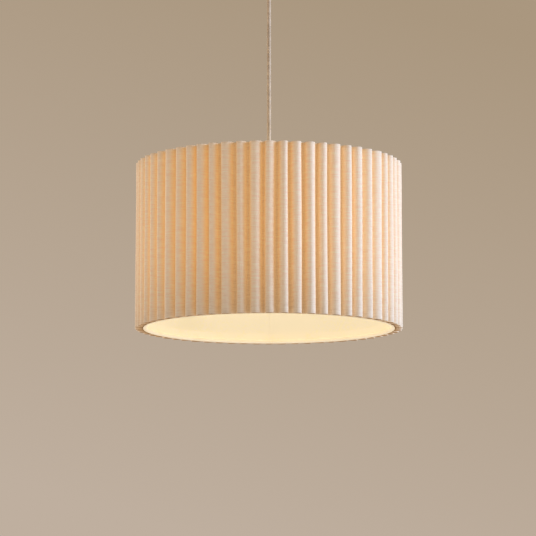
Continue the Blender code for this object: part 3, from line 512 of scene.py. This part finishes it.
body_low, body_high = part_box("lamp_body")
BODY_NECK, BODY_WALL, FLARE_STEPS = 0.0160, 0.0012, 12
wide, cap_edge = body_high.x, thread_radius
neck_top, neck_end = body_high.z - 0.0032, body_high.z - 0.010
flare = [(BODY_NECK + (wide - BODY_NECK)
          * (0.5 - 0.5 * math.cos(math.pi * i / FLARE_STEPS)) ** 0.9,
          neck_end + (body_low.z - neck_end) * i / FLARE_STEPS) for i in range(FLARE_STEPS + 1)]
lamp_body = turned("lamp_body_moulded", [
    (cap_edge, body_high.z), (BODY_NECK - 0.0008, body_high.z - 0.0022), (BODY_NECK, neck_top)]
    + flare + [(radius - BODY_WALL, height) for radius, height in reversed(flare)]
    + [(BODY_NECK - BODY_WALL, neck_top), (cap_edge - BODY_WALL, body_high.z),
       (cap_edge, body_high.z)], steps=96)
soften(lamp_body, width=0.0002, angle=40)
hand_over(lamp_body, "lamp", lamp_white, "lamp_body", "lamp_body", smooth=40)

# Opal glass over warm LEDs: it hides them, and glows an even warm white. Its frost is 1.4 mm
# coarse, drawn far larger than the real one.
FROST_A_METRE = 700.0
opal_glass, shader = new_finish("opal_glass", Roughness=0.32)
spot = add(opal_glass, "TexCoord").outputs["Object"]
frost = add(opal_glass, "TexNoise", {"Vector": spot, "Scale": FROST_A_METRE, "Detail": 2.0})
tone = blend_colours(opal_glass, frost.outputs["Fac"], "#F4EDE2", "#FBF6EE", 0.35, 0.65)
rough = add(opal_glass, "MapRange", {"Value": frost.outputs["Fac"], "To Min": 0.26,
                                     "To Max": 0.40})
opal_glass.node_tree.links.new(tone, shader.inputs["Base Color"])
opal_glass.node_tree.links.new(rough.outputs["Result"], shader.inputs["Roughness"])
shader.inputs["Emission Color"].default_value = linear("#F6E5C0")
shader.inputs["Emission Strength"].default_value = 4.0
globe_low, globe_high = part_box("lamp_globe")
globe_radius, GLASS = globe_high.x, 0.0012
globe_neck = globe_radius - 0.0015
globe_centre = (0, globe_low.z + globe_radius)
globe = turned("opal_globe", [(0, globe_low.z + GLASS)]
               + curve_of(globe_centre, globe_radius - GLASS, -87, 0, 22)
               + [(globe_neck - GLASS, globe_high.z), (globe_neck, globe_high.z)]
               + curve_of(globe_centre, globe_radius, 0, -87, 24) + [(0, globe_low.z)], steps=96)
hand_over(globe, "lamp", opal_glass, "lamp_globe", "lamp_globe", smooth=60)
refinish(nickel, "lamp_contact")
refinish(vitrite, "lamp_insulator")
refinish(board_white, "led_board")


# --- Shade ring --------------------------------------------------------------------------
# The moulded ring that screws up the skirt and holds the shade against the cap, with finger
# ribs round its flange and a plain neck under it.
ring_low, ring_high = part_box("shade_ring")
FLANGE, NECK_WALL, FLANGE_SOFTNESS = 0.0040, 0.0029, 0.0001
ring_radius, ring_bore = ring_high.x, skirt_radius + GAP
flange_end, ring_neck = ring_high.z - FLANGE, ring_bore + NECK_WALL
shade_ring = turned("shade_ring_ribbed", [(ring_bore, ring_high.z)]
                    + wall_between(ring_radius, ring_high.z, flange_end, 6)
                    + [(ring_neck, flange_end), (ring_neck, ring_low.z), (ring_bore, ring_low.z),
                       (ring_bore, ring_high.z)], steps=180)
ribbed(shade_ring, flange_end + FLANGE_SOFTNESS, ring_high.z - FLANGE_SOFTNESS, ribs=30,
       depth=0.0012, radius=ring_radius)
soften(shade_ring, width=0.00025, angle=50, segments=1)
hand_over(shade_ring, "shade_ring", moulded_cream, "holder_plastic", "shade_ring", smooth=40)


# --- Wire frame --------------------------------------------------------------------------
# Two hoops of 3.5 mm wire inside the drum's edges, and three 3 mm arms that are welded to the
# top hoop, bow down and are welded to the pressed fitter ring.
# Powder coat on drawn wire: an even, half-matt white.
white_coat = grained("white_powder_coat", "#E8E3DA", "#F2EEE6", 0.0010, (0.36, 0.50))
for name, node in (("top_hoop", "top_rim_wire"), ("bottom_hoop", "bottom_rim_wire")):
    low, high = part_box(node)
    wire_radius = (high.z - low.z) / 2
    hoop_centre = (high.x - wire_radius, low.z + wire_radius)
    hoop = turned(name, curve_of(hoop_centre, wire_radius, 0, 360, 16), steps=192)
    hand_over(hoop, "shade", white_coat, "coated_steel", node, smooth=60)

fitter_low, fitter_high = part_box("fitter_ring")
fitter_bore, fitter_radius = skirt_radius + GAP, fitter_high.x
fitter = turned("fitter_pressed", [
    (fitter_bore, fitter_high.z), (fitter_radius, fitter_high.z), (fitter_radius, fitter_low.z),
    (fitter_bore, fitter_low.z), (fitter_bore, fitter_high.z)], steps=128)
soften(fitter, width=0.0005, angle=40, segments=3)
hand_over(fitter, "shade", white_coat, "coated_steel", "fitter_ring", smooth=40)

ARM_RADIUS = 0.0015
WELD, WELD_LENGTH = 0.0008, 0.008           # its thickness, and its share of the arm
END_SHARE = 0.01                # share of the arm's mesh that is folded up at each end
arm_outer, arm_inner = 0.1838, fitter_radius - 0.0004
arm_high, arm_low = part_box("top_rim_wire")[0].z + wire_radius, (fitter_low.z + fitter_high.z) / 2


def arm_point(along):
    """The arm's own line, from the top hoop to the fitter: level at both ends."""
    eased = along * along * (3 - 2 * along)
    return Vector((arm_outer + (arm_inner - arm_outer) * along, 0,
                   arm_high + (arm_low - arm_high) * eased))


def arm_place(across, along, turn):
    """A point of the arm's skin. A fillet of weld spreads it where it meets hoop and fitter."""
    along = min(max((along - END_SHARE) / (1 - 2 * END_SHARE), 0.0), 1.0)
    centre, step = arm_point(along), 0.01
    ahead = (arm_point(min(along + step, 1)) - arm_point(max(along - step, 0))).normalized()
    side = Vector((0, 1, 0))
    up = side.cross(ahead).normalized()
    weld = WELD * (math.exp(-along / WELD_LENGTH) + math.exp(-(1 - along) / WELD_LENGTH))
    angle = 2 * math.pi * across
    point = centre + (ARM_RADIUS + weld) * (side * math.cos(angle) + up * math.sin(angle))
    return Matrix.Rotation(turn, 3, "Z") @ point


SAME_POINT = 0.000002           # vertices of an arm that are this near are one
for n in range(3):
    arm = laid_grid(f"arm_{n + 1}", across=16, along=100)
    shape_grid(arm, lambda across, along: arm_place(across, along, math.radians(90 + 120 * n)))
    bpy.ops.object.mode_set(mode="EDIT")
    bpy.ops.mesh.select_all(action="SELECT")
    bpy.ops.mesh.remove_doubles(threshold=SAME_POINT)
    bpy.ops.mesh.select_all(action="DESELECT")
    bpy.ops.mesh.select_non_manifold()
    bpy.ops.mesh.edge_face_add()
    bpy.ops.object.mode_set(mode="OBJECT")
    close_up(arm, distance=SAME_POINT)
    hand_over(arm, "shade", white_coat, "coated_steel", f"spoke_{n + 1}", smooth=50)


# --- Liner -------------------------------------------------------------------------------
# The drum itself: cream polystyrene sheet on a paper backing, 0.6 mm thick, rolled into a hoop
# and glued in a lap at the back. Inside, the lamp's light on it is painted on as a glow.
liner_low, liner_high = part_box("liner")
LINER_WALL, LAP_LENGTH, LAP_RAMP, GLUE_LINE = 0.0006, 0.012, 0.010, 0.0003
liner_radius = liner_high.x
lap_step = LINER_WALL + GLUE_LINE


def liner_place(across, along):
    """A point of the liner's outer face. It rises by its own wall where the ends overlap."""
    whole = 2 * math.pi * liner_radius + LAP_LENGTH
    run = across * whole
    rise = min(max((run - (whole - LAP_LENGTH - LAP_RAMP)) / LAP_RAMP, 0.0), 1.0)
    radius = liner_radius + lap_step * rise * rise * (3 - 2 * rise)
    angle = math.pi / 2 + run / liner_radius
    height = liner_low.z + (liner_high.z - liner_low.z) * along
    return (radius * math.cos(angle), radius * math.sin(angle), height)


def give_wall(piece, thickness, offset=-1.0, inner_finish=0):
    """Gives an open sheet its thickness, its inner face in the next finish if inner_finish is 1."""
    solid = piece.modifiers.new("Wall", "SOLIDIFY")
    solid.thickness, solid.offset, solid.material_offset = thickness, offset, inner_finish
    solid.use_even_offset = solid.use_quality_normals = True
    pick(piece)
    bpy.ops.object.modifier_apply(modifier="Wall")


def paint_lamp_glow(finish, colour, low, high):
    """Paints the lamp's light on as a glow, low at the shade's lower edge, high from the globe up.
    """
    shader = finish.node_tree.nodes["Principled BSDF"]
    height = add(finish, "SeparateXYZ", {"Vector": add(finish, "TexCoord").outputs["Object"]})
    glow = add(finish, "MapRange", {
        "Value": height.outputs["Z"], "From Min": shade_low.z, "From Max": globe_low.z,
        "To Min": low, "To Max": high}, interpolation_type="SMOOTHSTEP")
    shader.inputs["Emission Color"].default_value = linear(colour)
    finish.node_tree.links.new(glow.outputs["Result"], shader.inputs["Emission Strength"])


# Polystyrene sheet, calendered: smooth, satin and cream.
styrene_liner = grained("styrene_liner", "#F3EDD9", "#F8F3E4", 0.004, (0.50, 0.62))
# Painted glow: the lamp's light on the liner's inner face, a little brighter from the globe up.
paint_lamp_glow(styrene_liner, "#F6E7C4", low=0.21, high=0.235)
# Its back is a brown-cream paper, dull; its dark tone is partly the paper and partly painted shade
# for the hollow between the drum and the pleats.
liner_backing_and_shade = grained("liner_backing_and_shade", "#A88A64", "#BD9E76", 0.003, (0.80, 0.92))

liner = laid_grid("drum_liner", across=300, along=24)
shape_grid(liner, liner_place)
liner.data.materials.append(liner_backing_and_shade)
liner.data.materials.append(styrene_liner)
give_wall(liner, LINER_WALL, inner_finish=1)
hand_over(liner, "shade", None, "liner", "liner")


# --- Pleated cover -----------------------------------------------------------------------
# Unlined linen, pressed into 60 soft round pleats by hand and caught to the drum in their
# valleys. It is cut in two halves, and each meets the other in a valley at the side.
PLEATS_A_HALF = 30
FOLD_POINTS = 20                # mesh lines across one pleat
FINE_STEPS = 96                 # steps round a pleat that its length is measured over
SOFTENINGS = 2                  # times that a section's corners are eased
LINEN_WALL, VALLEY_RADIUS, PLEAT_DEPTH = 0.0008, 0.1892, 0.0106
SQUARENESS, FULLNESS = (2.0, 2.4), (0.70, 0.82)     # of a pleat's section, least and most
DEPTHS = (0.90, 1.0)            # shares of the full depth
HAND_SHIFT, HAND_TILT, HAND_SWAY = 0.10, 0.08, 0.025        # in pitches, off the even place
HAND_BULGE, SOFTNESS = 0.02, 0.00030
SWAY_RATE, BULGE_RATE = 3.6, 4.0            # in radians up the whole shade
LUMPS_ROUND, LUMPS_UP = 45, 18              # soft lumps of the cloth, a metre
PHASES = (0, 6.28)
pitch = math.pi / PLEATS_A_HALF


def pleat_section(squareness, fullness):
    """One pleat from valley to valley, as evenly spaced (across, out), with a soft foot."""
    fine, power = [(-0.5, 0.0)], 2 / squareness
    for i in range(FINE_STEPS + 1):
        t = -math.pi / 2 + math.pi * i / FINE_STEPS
        fine.append((math.copysign(abs(math.sin(t)) ** power, t) * fullness / 2,
                     max(math.cos(t), 0.0) ** power))
    fine.append((0.5, 0.0))
    true_size = [(a * VALLEY_RADIUS * pitch, o * PLEAT_DEPTH) for a, o in fine]
    run = [0.0]
    for (xa, ya), (xb, yb) in zip(true_size, true_size[1:]):
        run.append(run[-1] + math.hypot(xb - xa, yb - ya))
    even, at = [], 0
    for i in range(FOLD_POINTS + 1):
        goal = run[-1] * i / FOLD_POINTS
        while at < len(run) - 2 and run[at + 1] < goal:
            at += 1
        part = (goal - run[at]) / max(run[at + 1] - run[at], 1e-12)
        even.append(tuple(p + (q - p) * part for p, q in zip(fine[at], fine[at + 1])))
    for _ in range(SOFTENINGS):
        even = [even[0]] + [tuple((p + 2 * q + r) / 4 for p, q, r in zip(*three))
                            for three in zip(even, even[1:], even[2:])] + [even[-1]]
    return even, run[-1]


def pleated_half(name, start, seed):
    """One half of the cover, each pleat a little wider, fuller or more tilted than the next."""
    by_hand = random.Random(seed)
    sections = [pleat_section(by_hand.uniform(*SQUARENESS), by_hand.uniform(*FULLNESS))
                for _ in range(PLEATS_A_HALF)]
    shifts = [by_hand.uniform(-HAND_SHIFT, HAND_SHIFT) for _ in range(PLEATS_A_HALF - 1)]
    shifts = [0.0] + shifts + [0.0]
    phases = [by_hand.uniform(*PHASES) for _ in range(PLEATS_A_HALF + 1)]
    tilts = [by_hand.uniform(-HAND_TILT, HAND_TILT) for _ in range(PLEATS_A_HALF)]
    depths = [by_hand.uniform(*DEPTHS) for _ in range(PLEATS_A_HALF)]
    low, high = shade_low.z, shade_high.z

    def place(across, along):
        along_points = across * PLEATS_A_HALF * FOLD_POINTS
        n = min(int(along_points / FOLD_POINTS + 1e-6), PLEATS_A_HALF - 1)
        a, out = sections[n][0][round(along_points) - n * FOLD_POINTS]
        sway = [0.0 if m in (0, PLEATS_A_HALF)
                else HAND_SWAY * math.sin(SWAY_RATE * along + phases[m]) for m in (n, n + 1)]
        left, right = n + shifts[n] + sway[0], n + 1 + shifts[n + 1] + sway[1]
        turn = left + (a + 0.5) * (right - left) + tilts[n] * out
        angle = start + turn * pitch
        bulge = 1 + HAND_BULGE * math.sin(BULGE_RATE * along + 3 * phases[n])
        radius = VALLEY_RADIUS + PLEAT_DEPTH * out * min(depths[n] * bulge, 1.0)
        x, y = radius * math.cos(angle), radius * math.sin(angle)
        z = low + (high - low) * along
        lump = Vector((x * LUMPS_ROUND, y * LUMPS_ROUND, z * LUMPS_UP))
        soft = noise.noise(lump) * SOFTNESS * out
        return (x + soft * math.cos(angle), y + soft * math.sin(angle), z)

    half = laid_grid(name, across=PLEATS_A_HALF * FOLD_POINTS, along=40)
    shape_grid(half, place)
    return half, sum(length for _, length in sections)


# Linen of uneven thread, dry and matt. The lamp's light through it is painted on as a warm glow,
# strongest on the folds' flanks, and the valleys' colour is tinted warmer and darker as painted
# shade; it is nearly white where the window strikes it. Its threads are 0.5 mm apart, and are
# drawn 1.9 mm apart so that they show, with slubs about 18 mm long that run round the drum.
THREAD_SPACING, SLUB_LENGTH, SLUB_WIDTH = 0.0019, 0.018, 0.0013
SLUB_HEIGHT = 4.0               # in threads
MOTTLES_A_METRE = 160.0         # faint clouds of about 6 mm
WAVE_UNIT = 0.314               # length of one band of a Wave Texture at scale 1
THIN_THREAD, THICK_THREAD = 0.55, 0.92      # ends of the pattern's own range
VALLEY_FACE, CROWN_FACE = 0.1890, 0.2000    # radii between which the cloth's face lies
LIT_THROUGH = 0.305             # the painted glow of the lamp's light through the cloth, at its strongest


def curved(finish, value, points):
    """Runs a value from 0 to 1 along a smooth curve over the points."""
    curve = add(finish, "FloatCurve", {"Value": value})
    line = curve.mapping.curves[0].points
    line[0].location, line[1].location = points[0], points[-1]
    for point in points[1:-1]:
        line.new(*point)
    curve.mapping.update()
    return curve.outputs["Value"]


def dress_linen(name, cloth_length, cloth_height, outer_face):
    """Linen on a piece's own UV map, with the lamp's light painted on as a glow, strong on the
    outer face.
    """
    finish, shader = new_finish(name, Roughness=0.9, Specular_IOR_Level=0.2,
                                Sheen_Weight=0.10, Sheen_Roughness=0.6)
    coordinates = add(finish, "TexCoord")
    cloth = add(finish, "Mapping", {"Vector": coordinates.outputs["UV"],
                                    "Scale": (cloth_length, cloth_height, 1)})
    warp = add(finish, "TexWave", {"Vector": cloth.outputs[0], "Distortion": 1.2,
                                   "Scale": WAVE_UNIT / THREAD_SPACING, "Detail": 2.0,
                                   "Detail Scale": 0.6}, bands_direction="X")
    weft = add(finish, "TexWave", {"Vector": cloth.outputs[0], "Distortion": 1.6,
                                   "Scale": WAVE_UNIT / THREAD_SPACING, "Detail": 2.0,
                                   "Detail Scale": 0.6}, bands_direction="Y")
    stretch = add(finish, "Mapping", {"Vector": cloth.outputs[0],
                                      "Scale": (1 / SLUB_LENGTH, 1 / SLUB_WIDTH, 1)})
    slubs = add(finish, "TexNoise", {"Vector": stretch.outputs[0], "Scale": 1.0,
                                     "Detail": 2.0, "Roughness": 0.5})
    mottle = add(finish, "TexNoise", {"Vector": cloth.outputs[0], "Scale": MOTTLES_A_METRE,
                                      "Detail": 3.0})
    weave = add(finish, "Math", {0: warp.outputs["Fac"], 1: weft.outputs["Fac"]},
                operation="ADD")
    thick = add(finish, "Math", {0: slubs.outputs["Fac"], 1: SLUB_HEIGHT},
                operation="MULTIPLY")
    relief = add(finish, "Math", {0: weave.outputs[0], 1: thick.outputs[0]}, operation="ADD")
    faint_weft = add(finish, "MapRange", {"Value": weft.outputs["Fac"], "To Min": 0.36,
                                          "To Max": 0.56})
    cloudy = add(finish, "Math", {0: mottle.outputs["Fac"], 1: faint_weft.outputs["Result"]},
                 operation="MULTIPLY")
    thread_tone = add(finish, "Math", {0: slubs.outputs["Fac"], 1: cloudy.outputs[0]},
                      operation="ADD")
    bump = add(finish, "Bump", {"Height": relief.outputs[0], "Strength": 0.20,
                                "Distance": 0.0003})
    rough = add(finish, "MapRange", {"Value": weave.outputs[0], "From Max": 2.0,
                                     "To Min": 0.84, "To Max": 0.96})
    links = [("Normal", bump.outputs["Normal"]), ("Roughness", rough.outputs["Result"])]
    if not outer_face:
        # The inner face: the same linen painted darker as shade inside the folds, with a faint
        # painted glow for the lamp's light.
        links.append(("Base Color", blend_colours(finish, thread_tone.outputs[0], "#C0A27A",
                                                  "#D3B78F", THIN_THREAD, THICK_THREAD)))
        shader.inputs["Emission Color"].default_value = linear("#D9A873")
        shader.inputs["Emission Strength"].default_value = 0.14
    else:
        # The outer face: a painted glow for the lamp's light through the cloth, strongest on the
        # flanks and weaker near the top and bottom edges, and painted warm shade in the valleys'
        # colour.
        parts = add(finish, "SeparateXYZ", {"Vector": coordinates.outputs["Object"]})
        level = add(finish, "CombineXYZ", {"X": parts.outputs["X"], "Y": parts.outputs["Y"]})
        from_axis = add(finish, "VectorMath", {0: level.outputs[0]}, operation="LENGTH")
        how_far_out = add(finish, "MapRange", {"Value": from_axis.outputs["Value"],
                                               "From Min": VALLEY_FACE,
                                               "From Max": CROWN_FACE})
        lamp_tone = blend_colours(finish, how_far_out.outputs["Result"], "#E9A342", "#FFCD9C",
                                  0.60, 0.98)
        bare_linen = blend_colours(finish, thread_tone.outputs[0], "#E9DFD3", "#F8F1E7",
                                   THIN_THREAD, THICK_THREAD)
        valley_shade_tint = blend_colours(finish, how_far_out.outputs["Result"], "#FAEEDA", "#FFFFFF",
                                  0.0, 0.85)
        linen_with_valley_shade = add(finish, "Mix", {0: 1.0, 6: bare_linen, 7: valley_shade_tint},
                         data_type="RGBA", blend_type="MULTIPLY")
        how_high = add(finish, "MapRange", {
            "Value": parts.outputs["Z"], "From Min": shade_low.z, "From Max": shade_high.z})
        flanks = curved(finish, how_far_out.outputs["Result"],
                        ((0.0, 0.50), (0.25, 0.92), (0.7, 0.93), (1.0, 0.60)))
        near_lamp = curved(finish, how_high.outputs["Result"],
                           ((0.0, 0.42), (0.12, 0.66), (0.45, 1.0), (0.70, 1.0),
                            (0.965, 0.92), (1.0, 0.40)))
        full = add(finish, "Math", {0: near_lamp, 1: LIT_THROUGH}, operation="MULTIPLY")
        through = add(finish, "MapRange", {
            "Value": thread_tone.outputs[0], "From Min": THIN_THREAD, "From Max": THICK_THREAD,
            "To Min": 0.93, "To Max": 1.06})
        shone = add(finish, "Math", {0: full.outputs[0], 1: through.outputs["Result"]},
                    operation="MULTIPLY")
        strength = add(finish, "Math", {0: shone.outputs[0], 1: flanks}, operation="MULTIPLY")
        links += [("Base Color", linen_with_valley_shade.outputs[2]), ("Emission Color", lamp_tone),
                  ("Emission Strength", strength.outputs[0])]
    for socket, source in links:
        finish.node_tree.links.new(source, shader.inputs[socket])
    return finish


cover_height = shade_high.z - shade_low.z
first_seam = pitch / 2
for name, start, seed in (("cover_back", first_seam, 11),
                          ("cover_front", first_seam + math.pi, 7)):
    half, cut_length = pleated_half("pleated_" + name, start, seed)
    for face, outer_face in (("linen_", True), ("linen_inside_shaded_", False)):
        half.data.materials.append(dress_linen(face + name, cut_length, cover_height, outer_face))
    give_wall(half, LINEN_WALL, inner_finish=1)
    hand_over(half, "shade", None, "linen", name, smooth=60)


# --- Bindings ----------------------------------------------------------------------------
# Cotton tape, 22 mm wide, glued up the liner's inner face, round the rim wire and under the
# liner's edge, at the top and the bottom. The wire stands out under it as a bead.
TAPE_WALL, TAPE_UP, TAPE_STEPS, EDGE_INSET = 0.0005, 0.010, 6, 0.0008
# Plain-woven cotton tape: matt and cream, with the lamp's light painted on it as a glow a little
# brighter than the liner's.
cotton_tape = grained("cotton_tape", "#F5EAD6", "#FBF3E4", 0.0012, (0.78, 0.90), depth=0.0001)
paint_lamp_glow(cotton_tape, "#F8E4B8", low=0.285, high=0.28)
liner_bore = liner_radius - LINER_WALL
for name, node, edge, inward in (("bottom_tape", "bottom_binding", shade_low.z, 1),
                                 ("top_tape", "top_binding", shade_high.z, -1)):
    bead_centre = (liner_bore - GLUE_LINE - wire_radius,
                   edge + inward * (EDGE_INSET + wire_radius))
    wrap = wire_radius + GLUE_LINE + TAPE_WALL / 2
    flat = liner_bore - GLUE_LINE - TAPE_WALL / 2
    meet = math.degrees(math.acos((flat - bead_centre[0]) / wrap))
    path = [(flat, bead_centre[1] + inward * (wrap + TAPE_UP * i / TAPE_STEPS))
            for i in range(TAPE_STEPS, -1, -1)]
    path += curve_of(bead_centre, wrap, inward * meet, inward * 270, 14)
    path.append((liner_radius, edge + inward * TAPE_WALL / 2))
    tape = turned(name, path, steps=256)
    give_wall(tape, TAPE_WALL, offset=0.0)
    hand_over(tape, "shade", cotton_tape, "binding", node, smooth=50)
    tape_width = sum(math.dist(p, q) for p, q in zip(path, path[1:]))
